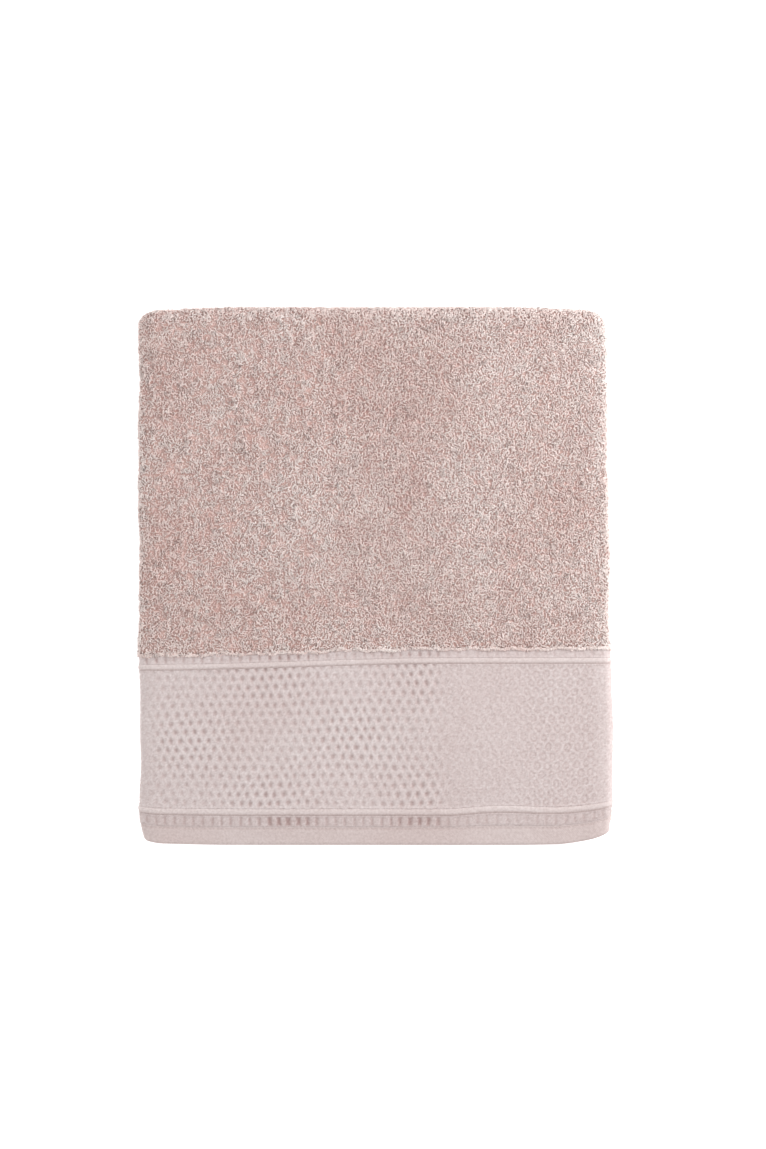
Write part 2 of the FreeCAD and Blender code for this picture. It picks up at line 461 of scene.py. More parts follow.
def shell(name, panel, across, along, face, back, value, step=6):
    """A closed stretch of cloth between a fine face and a coarse back."""
    columns, rows = len(across), len(along)
    grid_across, grid_along = np.meshgrid(across, along, indexing="ij")
    on_left = (across > LEFT_TURN_END) & (across < FOLD_LEFT)
    on_right = (across > FOLD_RIGHT) & (across < RIGHT_TURN_END)
    keep_columns = coarse_steps(across, on_left | on_right, step)
    keep_rows = coarse_steps(along, (along < panel.start) | (along > panel.end), step)
    back_across, back_along = np.meshgrid(across[keep_columns], along[keep_rows], indexing="ij")
    face_points = lay(panel, grid_across, grid_along, face).reshape(-1, 3)
    back_points = lay(panel, back_across, back_along, -back).reshape(-1, 3)
    front_index = np.arange(columns * rows).reshape(columns, rows)
    back_index = columns * rows + np.arange(len(back_points)).reshape(back_across.shape)
    faces = np.stack([front_index[:-1, :-1], front_index[1:, :-1],
                      front_index[1:, 1:], front_index[:-1, 1:]], axis=-1).reshape(-1, 4)
    backs = np.stack([back_index[:-1, :-1], back_index[:-1, 1:],
                      back_index[1:, 1:], back_index[1:, :-1]], axis=-1).reshape(-1, 4)
    walls = []
    for fine, coarse, keep, turned in (
        (front_index[0], back_index[0], keep_rows, False),
        (front_index[-1], back_index[-1], keep_rows, True),
        (front_index[:, 0], back_index[:, 0], keep_columns, True),
        (front_index[:, -1], back_index[:, -1], keep_columns, False),
    ):
        for k in range(len(keep) - 1):
            edge = list(fine[keep[k]:keep[k + 1] + 1])
            wall = edge + [coarse[k + 1], coarse[k]]
            walls.append(np.array([wall[::-1] if turned else wall]))
    groups = [faces, backs] + walls
    if not panel.face_up:
        groups = [group[:, ::-1] for group in groups]
    flat = np.concatenate([
        np.stack([grid_across, grid_along], -1).reshape(-1, 2),
        np.stack([back_across, back_along], -1).reshape(-1, 2),
    ])
    # The value stored as relief is a depth of colour: mostly painted shade, in hollows, on round
    # edges and under the loops.
    relief = np.concatenate([value.ravel(), np.zeros(len(back_points))])
    points = np.concatenate([face_points, back_points])
    return piece_from(name, points, groups, {"relief": relief}, flat)


def marks(*stretches):
    """Grid marks from stretches of (start, end, spacing), each end shared with the next start."""
    parts = []
    for start, end, spacing in stretches:
        count = max(1, round(abs(end - start) / spacing))
        parts.append(np.linspace(start, end, count + 1)[:-1])
    return np.append(np.concatenate(parts), stretches[-1][1])


# %% [markdown]
# ## Terry cloth
# The ground of terry is a plain weave that holds thousands of loops. On the outside
# of the folded towel the loops are real meshes, added further down, and the ground
# lies lower to leave them room. Between the panels the pile is pressed flat, and the
# shell itself gets a nubbly face there. Random heights come from one seeded source.

# %% Shape the terry ground
TUFT_ROOM = 1.5 * MM
NUB_HEIGHT = 0.6 * MM
GRID = 3.0 * MM
HIDDEN_GRID = 14 * MM
STEPS_IN_BEND = 8
rng = np.random.default_rng(1841)


def under_tufts(panel, across, along):
    """Whether real loops stand on the ground at a place."""
    wrapped = (across > LEFT_TURN_END) & (across < RIGHT_TURN_END)
    side = wrapped & ((across < FOLD_LEFT) | (across > FOLD_RIGHT))
    top = wrapped & (along > panel.end)
    lower = (across > FOLD_RIGHT) & (along < panel.start)
    return (wrapped & (panel is FRONT)) | side | top | lower


def rows_from(panel, begin):
    """Grid marks along a panel from this place on, into its bends."""
    turn = BEND_LENGTH / STEPS_IN_BEND
    stretches = [(begin, panel.end, GRID), (panel.end, panel.end + BEND_LENGTH, turn)]
    if -1 in panel.bends:
        stretches.insert(0, (panel.start - BEND_LENGTH, panel.start, turn))
    return marks(*stretches)


def terry_columns():
    """Grid marks across the terry, hem to hem."""
    return marks(
        (LEFT_HEM_START, LEFT_TURN_END, HIDDEN_GRID),
        (LEFT_TURN_END, FOLD_LEFT, math.pi * LEFT_BEND / 10),
        (FOLD_LEFT, FOLD_RIGHT, GRID),
        (FOLD_RIGHT, RIGHT_TURN_END, math.pi * RIGHT_BEND / 12),
        (RIGHT_TURN_END, RIGHT_HEM_START, GRID),
    )


def make_terry(panel):
    """The terry of a panel as one shell."""
    across = terry_columns()
    along = rows_from(panel, panel.terry_start)
    grid_across, grid_along = np.meshgrid(across, along, indexing="ij")
    nubs = rng.random(grid_across.shape)
    standing = under_tufts(panel, grid_across, grid_along)
    face = PLY / 2 - np.where(standing, TUFT_ROOM, NUB_HEIGHT * nubs)
    # Where loops stand is stored as relief, for painted shade on the ground under them.
    piece = shell(panel.name + "_terry_ground", panel, across, along, face, PLY / 2, standing)
    print(piece.name, len(piece.data.polygons), "faces")
    return piece


terry_grounds = {panel.name: make_terry(panel) for panel in PANELS}

# %% [markdown]
# ## The woven border
# The border has no pile. From the hem inwards it has a low band of tall cells, a
# smooth rib, the wide waffle, a second rib and a band of small cells. No weave lies
# quite straight, so one function says where in the pattern each place falls, and
# the cells of all the bands sway with it.
#
# The waffle's pits are staggered like bricks, and its raised threads cross between
# them on both slants. On the right half the weave is flatter: only a ring is left
# of each pit. How deep the cells are drawn also drifts in wide lozenges.

# %% Shape the waffle
CELL_WIDTH = 6.75 * MM
CELL_HEIGHT = 6.3 * MM
PIT_DEPTH = 0.75 * MM
PIT_RADIUS = 1.5 * MM
PIT_LENGTH = 1.25
RIDGE_HEIGHT = 0.26 * MM
RING_RADIUS = 1.9 * MM
RING_WIDTH = 0.5 * MM
RING_DEPTH = 0.22 * MM
WAFFLE_ROUGHNESS = 0.13 * MM
LOZENGE_WIDTH = 118 * MM
LOZENGE_LENGTH = 88 * MM


def unevenly(across, along):
    """The places in the pattern that end up here: no weave lies quite straight."""
    sway = 0.7 * MM * np.sin(along * 103 + 1.3 * np.sin(across * 39))
    sway = sway + 0.35 * MM * np.sin(across * 301 + along * 97)
    dip = 0.6 * MM * np.sin(across * 61 + 1.1 * np.sin(along * 71))
    dip = dip + 0.3 * MM * np.sin(along * 283 - across * 131)
    return across + sway, along + dip


def to_pit(across, along):
    """Distance to the nearest pit, in rows that are staggered by half a cell."""
    row = np.round(along / CELL_HEIGHT)
    column = across / CELL_WIDTH + 0.5 * (row % 2)
    aside = (column - np.round(column)) * CELL_WIDTH
    return np.hypot(aside, (along - row * CELL_HEIGHT) / PIT_LENGTH)


def slanted_threads(across, along):
    """1 on the raised threads, which cross between the pits on both slants."""
    column = 2 * math.pi * across / CELL_WIDTH
    row = math.pi * along / CELL_HEIGHT
    rising = (0.5 - 0.5 * np.cos(column - row)) ** 3
    falling = (0.5 - 0.5 * np.cos(column + row)) ** 3
    return np.maximum(rising, falling)


def pit_strength(across, along):
    """How deep the cells are drawn: pulled flat at the sides, softer on the right half."""
    left_fade = 0.12 + 0.88 * ease(across, -HALF_WIDTH + 4 * MM, -HALF_WIDTH + 20 * MM)
    right_fade = 1 - 0.9 * ease(across, 0.036, 0.058)
    lozenge = np.cos(across * 2 * math.pi / LOZENGE_WIDTH + 0.9)
    lozenge = lozenge * np.cos(along * 2 * math.pi / LOZENGE_LENGTH + 2.2)
    return left_fade * right_fade * (0.76 + 0.3 * lozenge)


def waffle(across, along, part):
    """Relief and depth of colour of the waffle: pits at the left, flat rings at the right."""
    across_pattern, along_pattern = unevenly(across, along)
    distance = to_pit(across_pattern, along_pattern)
    strength = pit_strength(across, along)
    pit = np.exp(-((distance / PIT_RADIUS) ** 3)) * strength
    ringed = ease(across, 0.04, 0.06) * (1 - ease(across, 0.152, 0.162))
    ringed = ringed * (0.55 + 0.6 * ease(across, 0.095, 0.118))
    ring = np.exp(-(((distance - RING_RADIUS) / RING_WIDTH) ** 2)) * ringed
    threads = slanted_threads(across_pattern, along_pattern) * (0.12 + 0.88 * strength)
    yarn = rng.standard_normal(across.shape)
    relief = RIDGE_HEIGHT * threads - PIT_DEPTH * pit - RING_DEPTH * ring
    # Depth of colour: painted shade in the pits and rings, a painted highlight on the raised
    # threads, and a random yarn colour.
    depth = 0.24 - 0.15 * threads + 0.5 * pit + 0.25 * ring + 0.11 * yarn
    return relief + WAFFLE_ROUGHNESS * yarn, depth


print("waffle cells of", round(CELL_WIDTH / MM, 2), "by", round(2 * CELL_HEIGHT / MM, 2), "mm")

# %% [markdown]
# ## Ribs, bands of cells and the hem
# Every zone of the border is a function of the same three values: the place across
# and along, and `part`, which runs from 0 at the zone's lower edge to 1 at its upper
# edge. Each gives back the relief of its face and how deep its colour is, which is
# painted shade in slits, grooves and round edges and painted highlight on crowns. The
# cells of both narrow bands are as wide as the waffle's, with slits between them, and
# in two stretches the yarn is drawn together.

# %% Shape the ribs, the bands and the hem
SLIT_DEPTH = 0.75 * MM
BAND_ROUGHNESS = 0.08 * MM
TIGHT_PLACES = ((-60 * MM, 1.0), (34 * MM, 0.7))
TIGHT_REACH = 18 * MM
RIB_CROWN = 0.15 * MM
RIB_GROOVE = 0.45 * MM
RIB_ROUGHNESS = 0.06
HEM_RIPPLE = 0.25 * MM
HEM_EDGE_DROP = 1.2 * MM
HEM_SEAM_GROOVE = 0.2 * MM
HEM_ROUGHNESS = 0.03


def rib(across, along, part):
    """Relief and depth of colour of a soft rib with a groove along its lower side."""
    crown = np.clip(2.2 * np.sin(math.pi * part), 0, 1)
    groove = np.exp(-(((part - 0.12) / 0.15) ** 2))
    fibre = RIB_ROUGHNESS * rng.standard_normal(across.shape)
    relief = RIB_CROWN * crown - RIB_GROOVE * groove + fibre * MM
    # Colour: a painted highlight on the crown and painted shadow in the groove below it, with a
    # random fibre colour.
    return relief, 0.2 - 0.05 * crown + 0.4 * groove + fibre


def cell_slits(across):
    """1 in the slits between the cells of a band, one cell width apart."""
    return ease(np.cos(2 * math.pi * across / CELL_WIDTH), 0.25, 0.98)


def drawn_tight(across):
    """How much the cells of both bands are drawn together, 1 at the most."""
    tight = 0
    for centre, amount in TIGHT_PLACES:
        tight = tight + amount * np.exp(-(((across - centre) / TIGHT_REACH) ** 4))
    return tight


def band_of(drawn, shade, painted_slit_shade):
    """Relief and depth of colour of a band whose yarn is drawn in this much."""
    drawn = np.clip(drawn, 0, 1.2)
    yarn = rng.standard_normal(drawn.shape)
    # Colour: painted shade where the yarn is drawn into slits, with a random yarn colour.
    return BAND_ROUGHNESS * yarn - SLIT_DEPTH * drawn, shade + painted_slit_shade * drawn + 0.09 * yarn


def tall_cells(across, along, part):
    """Relief and depth of colour of the low band: tall cells, in places drawn tight."""
    across_pattern, _ = unevenly(across, along)
    slant = 3.0 * MM * (part - 0.5) * drawn_tight(across)
    crossed = np.maximum(cell_slits(across_pattern + slant), cell_slits(across_pattern - slant))
    slit = crossed * ease(0.5 - np.abs(part - 0.5), 0.0, 0.25)
    strength = 0.3 + pit_strength(across, along) * 0.4 + 0.4 * drawn_tight(across)
    bar = 0.4 * drawn_tight(across) * np.exp(-(((part - 0.5) / 0.13) ** 2))
    return band_of(slit * strength + bar, 0.33, 0.6)


def small_cells(across, along, part):
    """Relief and depth of colour of the upper band: one row of short dashes."""
    across_pattern, _ = unevenly(across, along)
    dot = cell_slits(across_pattern) * np.exp(-(((part - 0.4) / 0.28) ** 2))
    left_patch = 0.6 * np.exp(-(((across + 0.158) / 0.008) ** 2))
    strength = 0.25 + 0.5 * pit_strength(across, along) + left_patch + 0.4 * drawn_tight(across)
    return band_of(dot * strength, 0.25, 0.7)


def end_hem(across, along, part):
    """Relief and colour of the turned hem: flat twill, round at its free edge."""
    free_edge = 1 - np.sqrt(np.maximum(1 - (1 - np.minimum(part / 0.16, 1)) ** 2, 0))
    seam = np.exp(-(((part - 0.885) / 0.05) ** 2))
    ripple = HEM_RIPPLE * np.sin(across * 260 + 2 * np.sin(across * 31)) * ease(across, 0.02, 0.15)
    fibre = HEM_ROUGHNESS * rng.standard_normal(across.shape)
    relief = ripple * (1 - part) - HEM_EDGE_DROP * free_edge - HEM_SEAM_GROOVE * seam + fibre * MM
    # Colour: painted shade in the seam groove and on the round free edge, with a random fibre
    # colour.
    return relief, 0.12 + 0.25 * seam + 0.5 * free_edge + fibre


print("the slits between the cells are", round(SLIT_DEPTH / MM, 2), "mm deep")

# %% [markdown]
# ## Laying the border
# The zones lie at different depths behind the face of the pile. Where two of them
# meet, both run smoothly to the level halfway between them, so that no gap opens and
# no step is left standing. The front border has the fine grid, since it is seen; the
# base panel's border lies underneath and gets one twice as coarse.

# %% Build the borders
FACE_STEP = 0.8 * MM
EDGE_RUN = 1.6 * MM
ZONES = {
    "hem": ("end_hem", end_hem),
    "lower_cell_band": ("tall_cell_band", tall_cells),
    "lower_cord": ("lower_rib", rib),
    "waffle_border": ("waffle", waffle),
    "upper_cord": ("upper_rib", rib),
    "upper_cell_band": ("small_cell_band", small_cells),
}


def border_columns(spacing):
    """Grid marks across the border, fine where it shows."""
    return marks(
        (LEFT_HEM_START, LEFT_TURN_END, HIDDEN_GRID),
        (LEFT_TURN_END, RIGHT_TURN_END, spacing),
        (RIGHT_TURN_END, RIGHT_HEM_START, 4 * spacing),
    )


def recess_of(panel, node):
    """How far a zone of the border lies behind the face of the pile."""
    low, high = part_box(panel.name + "_" + node)
    return panel.top - high.z if panel.face_up else low.z - panel.bottom


def make_zone(panel, node, piece_name, relief, spacing, low_edge, high_edge):
    """One zone of the border; its level runs smoothly into those of its neighbours."""
    low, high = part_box(panel.name + "_" + node)
    recess = recess_of(panel, node)
    across = border_columns(spacing)
    along = marks((low.y, high.y, 0.8 * spacing))
    grid_across, grid_along = np.meshgrid(across, along, indexing="ij")
    part = (grid_along - low.y) / (high.y - low.y)
    shape, drawn = relief(grid_across, grid_along, part)
    near_low = 1 - ease(grid_along - low.y, 0, EDGE_RUN)
    near_high = 1 - ease(high.y - grid_along, 0, EDGE_RUN)
    level = recess + (low_edge - recess) * near_low + (high_edge - recess) * near_high
    face = PLY / 2 - level + shape
    piece = shell(panel.name + "_" + piece_name, panel, across, along, face, PLY / 2, drawn)
    print(piece.name, len(piece.data.polygons), "faces")
    return piece


def make_border(panel, spacing):
    """Every zone of a panel's border, by the node that it stands for."""
    levels = [recess_of(panel, node) for node in ZONES]
    in_mm = [round(level / MM, 2) for level in levels]
    print(panel.name, "border zones lie behind the pile by", in_mm, "mm")
    levels = [levels[0], *levels, levels[-1]]
    shared = [(one + other) / 2 for one, other in zip(levels, levels[1:])]
    zones = {}
    for node, low_edge, high_edge in zip(ZONES, shared, shared[1:]):
        name, relief = ZONES[node]
        zones[node] = make_zone(panel, node, name, relief, spacing, low_edge, high_edge)
    return zones


borders = {"front": make_border(FRONT, FACE_STEP), "base": make_border(BASE, 2 * FACE_STEP)}

# %% [markdown]
# ## Side hems
# The long edges of the towel are turned twice and sewn. They end up inside the fold
# at the right crease, and on the underside near the left crease, where they show
# when the towel is opened. Each is a narrow shell with rounded edges.

# %% Make the side hems
ROUND_EDGE = 1.5 * MM
ROUND_EDGE_STEP = 0.3 * MM
HEM_STEP = 1.2 * MM
HEM_PULL = 0.12 * MM
HEM_PULL_SPACING = 3.2 * MM
HEM_BACK = 0.8


def side_hem_marks(start, end):
    """Grid marks across a side hem, closer at its rounded edges."""
    return marks(
        (start, start + ROUND_EDGE, ROUND_EDGE_STEP),
        (start + ROUND_EDGE, end - ROUND_EDGE, HEM_STEP),
        (end - ROUND_EDGE, end, ROUND_EDGE_STEP),
    )


def make_side_hem(panel, name, start, end, node):
    """A rounded, slightly rippled hem along a free edge."""
    low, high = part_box(panel.name + "_" + node)
    half = (high.z - low.z) / 2
    across = side_hem_marks(*sorted((start, end)))
    along = rows_from(panel, panel.start)
    grid_across, grid_along = np.meshgrid(across, along, indexing="ij")
    from_edge = np.minimum(np.abs(grid_across - start), np.abs(grid_across - end)) / ROUND_EDGE
    rounding = 1 - np.sqrt(1 - (1 - np.minimum(from_edge, 1)) ** 2)
    pulled = HEM_PULL * np.sin(grid_along * 2 * math.pi / HEM_PULL_SPACING)
    face = half * (1 - 0.75 * rounding) - 0.1 * MM + pulled * (1 - rounding)
    piece_name = panel.name + "_" + name
    # The rounding also goes in as depth of colour: painted shade on the round edges.
    return shell(piece_name, panel, across, along, face, half * HEM_BACK, rounding, step=3)


side_hems = {}
for panel in PANELS:
    side_hems[panel.name] = (
        make_side_hem(panel, "inner_hem", LEFT_HEM_START, LEFT_HEM_END, "left_side_hem"),
        make_side_hem(panel, "outer_hem", RIGHT_HEM_START, RIGHT_HEM_END, "right_side_hem"),
    )
print("side hems:", len(side_hems) * 2)

# %% [markdown]
# ## A loop of pile and a stitch
# Both are a short piece of yarn bent into an arch with its feet in the cloth. One of
# each is modelled: a small triangle or hexagon stands at one foot and is spun
# round to the other foot. The pile needs tens of thousands of loops, so a loop keeps
# to a few faces, and its feet are drawn to points where the cloth hides them. A spin
# may list its faces in another order each time, so they are sorted.

# %% Model one arch of yarn
def draw_feet_to_points(arch, yarn):
    """Collapse the two end rings, which are out of sight in the cloth."""
    bpy.ops.object.mode_set(mode="EDIT")
    bpy.ops.mesh.select_mode(type="VERT")
    bpy.ops.mesh.select_all(action="DESELECT")
    bpy.ops.object.mode_set(mode="OBJECT")
    for vertex in arch.data.vertices:
        vertex.select = abs(vertex.co.z) < yarn / 50
    bpy.ops.object.mode_set(mode="EDIT")
    bpy.ops.mesh.merge(type="COLLAPSE")
    bpy.ops.object.mode_set(mode="OBJECT")


def yarn_arch(name, bend, yarn, sweep, steps, sides, pointed=False):
    """An arch of yarn over the Y axis, feet at height 0; its points and faces."""
    bpy.ops.object.select_all(action="DESELECT")
    foot = (math.pi - sweep) / 2
    place = (0, bend * math.cos(foot), bend * math.sin(foot))
    bpy.ops.mesh.primitive_circle_add(
        vertices=sides, radius=yarn, fill_type="NGON", location=place, rotation=(foot, 0, 0)
    )
    bpy.ops.object.transform_apply(location=True, rotation=True, scale=True)
    arch = bpy.context.object
    arch.name = name
    bpy.ops.object.mode_set(mode="EDIT")
    bpy.ops.mesh.select_all(action="SELECT")
    bpy.ops.mesh.spin(steps=steps, angle=sweep, center=(0, 0, 0), axis=(-1, 0, 0))
    bpy.ops.mesh.select_all(action="SELECT")
    bpy.ops.mesh.normals_make_consistent(inside=False)
    bpy.ops.transform.translate(value=(0, 0, -bend * math.sin(foot)))
    bpy.ops.object.mode_set(mode="OBJECT")
    if pointed:
        draw_feet_to_points(arch, yarn)
    check = bmesh.new()
    check.from_mesh(arch.data)
    open_edges = sum(not edge.is_manifold for edge in check.edges)
    check.free()
    points = np.array([vertex.co for vertex in arch.data.vertices])
    faces = sorted(list(face.vertices) for face in arch.data.polygons)
    print(name, len(faces), "faces,", open_edges, "open edges")
    bpy.data.objects.remove(arch)
    return points, faces


PILE_LOOP = yarn_arch(
    "pile_loop", bend=1.25 * MM, yarn=0.46 * MM, sweep=math.pi, steps=3, sides=3, pointed=True
)
STITCH = yarn_arch(
    "stitch", bend=2.4 * MM, yarn=0.24 * MM, sweep=math.radians(58), steps=4, sides=6
)

# %% [markdown]
# ## Placing the copies
# Each copy gets its own turn, lean and size, and stands square on the cloth wherever
# the cloth goes, also on the round of a crease. The directions along and off the
# cloth are found by laying neighbouring points into the fold.

# %% Place copies of an arch on the cloth
FULL_STAND = 1.5 * MM
NEARBY = 0.05 * MM


def place_arches(name, panel, arch, across, along, height, heading, lean, curl, size, tone):
    """One mesh of many arches; heading turns them from the towel's length, lean tips them,
    and curl bends each one sideways into a slack S."""
    root = lay(panel, across, along, height)
    off = lay(panel, across, along, height + NEARBY) - root
    run = lay(panel, across, along + NEARBY, height) - root
    off = off / np.linalg.norm(off, axis=1, keepdims=True)
    run = run - off * np.sum(run * off, axis=1, keepdims=True)
    run = run / np.linalg.norm(run, axis=1, keepdims=True)
    beside = np.cross(run, off)
    plumb = off
    turn_cos, turn_sin = np.cos(heading)[:, None], np.sin(heading)[:, None]
    run, beside = run * turn_cos + beside * turn_sin, beside * turn_cos - run * turn_sin
    lean_cos, lean_sin = np.cos(lean)[:, None], np.sin(lean)[:, None]
    off, beside = off * lean_cos + beside * lean_sin, beside * lean_cos - off * lean_sin
    shape, faces = arch
    frames = np.stack([beside, run, off], axis=1)
    points = root[:, None, :] + np.einsum("vk,nkc->nvc", shape, frames * size[:, :, None])
    bow = np.sin(math.pi * shape[:, 1] / np.abs(shape[:, 1]).max())
    points = points + (curl[:, None] * bow)[:, :, None] * beside[:, None, :]
    count, per_arch = points.shape[:2]
    shift = (np.arange(count) * per_arch)[:, None, None]
    groups = []
    for corners in sorted({len(face) for face in faces}):
        group = np.array([face for face in faces if len(face) == corners])
        groups.append((group[None] + shift).reshape(-1, corners))
    standing = np.einsum("nvc,nc->nv", points - root[:, None, :], plumb) / FULL_STAND
    values = {"tone": np.repeat(tone, per_arch), "tip": np.clip(standing, 0, 1)}
    return piece_from(name, points.reshape(-1, 3), groups, values)


print("an arch counts as fully standing at", round(FULL_STAND / MM, 2), "mm")

# %% [markdown]
# ## The pile
# The loops stand in rows on the front panel and round every crease that shows. Round
# a crease the outer skin of the towel is longer than the middle of the cloth, so the
# places are spread evenly over the skin and then found back on the flat cloth.

# %% Spread places for the loops
PILE_PITCH = 1.13 * MM
SIDE_PITCH = 1.6 * MM


def skin_to_across(skin):
    """The place across the flat cloth under a place on the outer skin."""
    left_skin = math.pi * LEFT_RADIUS
    right_skin = math.pi * RIGHT_RADIUS
    on_skin = [FOLD_LEFT - left_skin, FOLD_LEFT, FOLD_RIGHT, FOLD_RIGHT + right_skin, 1]
    on_cloth = [LEFT_TURN_END, FOLD_LEFT, FOLD_RIGHT, RIGHT_TURN_END]
    on_cloth.append(RIGHT_TURN_END + 1 - on_skin[3])
    return np.interp(skin, on_skin, on_cloth)


def skin_to_along(panel, skin):
    """The place along the flat panel under a place on the outer skin of its bends."""
    past_end = np.maximum(skin - panel.end, 0)
    past_start = np.minimum(skin - panel.start, 0)
    share = BEND_LENGTH / OUTER_BEND_LENGTH
    return np.clip(skin, panel.start, panel.end) + share * (past_end + past_start)


def scatter(panel, skin_x, skin_y, pitch):
    """Even but unruly places on the outer skin, between limits across and along."""
    columns = max(1, round((skin_x[1] - skin_x[0]) / pitch))
    rows = max(1, round((skin_y[1] - skin_y[0]) / pitch))
    column, row = np.meshgrid(np.arange(columns), np.arange(rows), indexing="ij")
    column = column + 0.5 * (row % 2) + rng.uniform(-0.42, 0.42, column.shape)
    row = row + rng.uniform(-0.45, 0.45, row.shape)
    x = skin_x[0] + (column.ravel() + 0.25) / columns * (skin_x[1] - skin_x[0])
    y = skin_y[0] + (row.ravel() + 0.5) / rows * (skin_y[1] - skin_y[0])
    return skin_to_across(x), skin_to_along(panel, y)


print("loops stand", round(PILE_PITCH / MM, 2), "mm apart,", SIDE_PITCH / MM, "mm on the creases")

# %% [markdown]
# ## Clumps, gaps and brushed patches
# After a few washes the loops cling together. Within a small clump they turn, lean
# and shift the same way, with a little of their own, and between the clumps the pile
# parts into shallow gaps. This is liveliest on the left half of the towel. In a few
# wide listed patches, where the pile was brushed the other way, the loops are painted
# darker, as painted shade, and on the rounds of the side creases they are painted
# lighter, as painted light. The clumps and gaps come from smooth random fields, one
# for each habit.

# %% Let the loops cling and turn
CLUMP_SIZE = 3.8 * MM
CLUMP_SHIFT = 1.1 * MM
GAP_SIZE = 2.2 * MM
GAP_DROP = 0.42
FIELD_SIDE = 400
CLUMP_TURN = math.radians(75)
OWN_TURN = math.radians(32)
CLUMP_LEAN = math.radians(50)
OWN_LEAN = math.radians(28)
OWN_CURL = 0.45 * MM
PLAIN_TONE = 0.58
RIM_PAINTED_LIGHT = 0.4
RIM_INSIDE = 9 * MM
RIM_OUTSIDE = 4 * MM
LOOP_ROOT = PLY / 2 - TUFT_ROOM - 0.3 * MM
BRUSHED_SHADE_PATCHES = (
    {"centre": (-0.125, 0.150), "reach": (0.035, 0.035), "amount": 0.35},
    {"centre": (-0.118, 0.020), "reach": (0.030, 0.020), "amount": 0.22},
    {"centre": (0.030, 0.080), "reach": (0.020, 0.060), "amount": 0.25},
    {"centre": (0.000, -0.030), "reach": (0.050, 0.020), "amount": 0.25},
)


def clumped(across, along, size):
    """Random from -1 to 1, smooth over the size of a clump of loops that cling together."""
    field = rng.uniform(-1, 1, (FIELD_SIDE, FIELD_SIDE))
    column = (across / size + FIELD_SIDE / 2) % (FIELD_SIDE - 1)
    row = (along / size + FIELD_SIDE / 2) % (FIELD_SIDE - 1)
    left, low = column.astype(int), row.astype(int)
    right_share, up_share = column - left, row - low
    lower = field[left, low] * (1 - right_share) + field[left + 1, low] * right_share
    upper = field[left, low + 1] * (1 - right_share) + field[left + 1, low + 1] * right_share
    return lower * (1 - up_share) + upper * up_share


def brushed(across, along):
    """How much painted shade darkens the pile where it was brushed the other way, in wide patches.
    """
    shade = 0
    for patch in BRUSHED_SHADE_PATCHES:
        aside = (across - patch["centre"][0]) / patch["reach"][0]
        ahead = (along - patch["centre"][1]) / patch["reach"][1]
        shade = shade + patch["amount"] * np.exp(-(aside**2 + ahead**2))
    return shade


def grow_pile(name, panel, across, along, root=LOOP_ROOT):
    """Loops on the terry ground at these places."""
    count = len(across)
    liveliness = 1.2 - 0.7 * ease(across, -0.1, 0.05)
    clump = clumped(across, along, CLUMP_SIZE) * liveliness
    across = across + CLUMP_SHIFT * clumped(across, along, CLUMP_SIZE) * liveliness
    along = along + CLUMP_SHIFT * clumped(across, along, CLUMP_SIZE) * liveliness
    on_bend = (across < FOLD_LEFT) | (across > FOLD_RIGHT) | (along > panel.end)
    heading = CLUMP_TURN * clumped(across, along, CLUMP_SIZE)
    heading = heading + OWN_TURN * rng.standard_normal(count)
    lean = CLUMP_LEAN * clumped(across, along, CLUMP_SIZE)
    lean = lean + OWN_LEAN * rng.standard_normal(count)
    length = rng.uniform(0.5, 1.3, count)
    rise = rng.uniform(0.85, 1.25, count) + 0.25 * clump + 0.15 * on_bend
    gap = ease(-clumped(across, along / 1.5, GAP_SIZE) * liveliness, 0.3, 0.75)
    rise = rise * (1 - GAP_DROP * gap)
    size = np.stack([rng.uniform(0.75, 1.2, count), length, rise], axis=1)
    # Painted light: loops on the rounds of the side creases are lighter; painted shade: loops in
    # the brushed patches are darker.
    rim = ease(across, FOLD_RIGHT - RIM_INSIDE, FOLD_RIGHT + RIM_OUTSIDE)
    rim = rim + ease(-across, -FOLD_LEFT - RIM_INSIDE, -FOLD_LEFT + RIM_OUTSIDE)
    tone = PLAIN_TONE + liveliness * 0.17 * rng.standard_normal(count) + RIM_PAINTED_LIGHT * rim
    tone = np.clip(tone - brushed(across, along), 0, 1)
    curl = OWN_CURL * rng.standard_normal(count)
    print(name, count, "loops")
    return place_arches(
        name, panel, PILE_LOOP, across, along, root, heading, lean, curl, size, tone
    )


# %% [markdown]
# ## Where the pile is seen
# The front panel has loops all over, in a few pieces so that none is too large, and
# its last loops fall forward over the woven band. On the other panels only the
# creases show. Their loops keep clear of the neighbouring panels and of the table.

# %% Grow the pile
PILE_PIECES = 6
FRINGE_LOOPS = 2000
FRINGE_CLUMP = 5.5 * MM
FRINGE_ROOT = PLY / 2 - 1.6 * MM
LEFT_CLEARANCE = 1.6 * MM
RIGHT_CLEARANCE = 2.2 * MM
BEND_CLEARANCE = 4 * MM
PILE_OVERLAP = 0.8 * MM
LEFT_SKIN_END = FOLD_LEFT - math.pi * LEFT_RADIUS
RIGHT_SKIN_END = FOLD_RIGHT + math.pi * RIGHT_RADIUS


def grow_fringe(panel):
    """The last loops, which fall forward over the woven band, more of them in some places."""
    across = rng.uniform(LEFT_TURN_END, RIGHT_TURN_END, FRINGE_LOOPS)
    tufts = clumped(across, np.zeros(FRINGE_LOOPS), FRINGE_CLUMP)
    reach = (0.1 + 0.9 * tufts + 1.1 * rng.random(FRINGE_LOOPS)) * MM
    along = panel.terry_start - reach
    return grow_pile(panel.name + "_fringe", panel, across, along, FRINGE_ROOT)


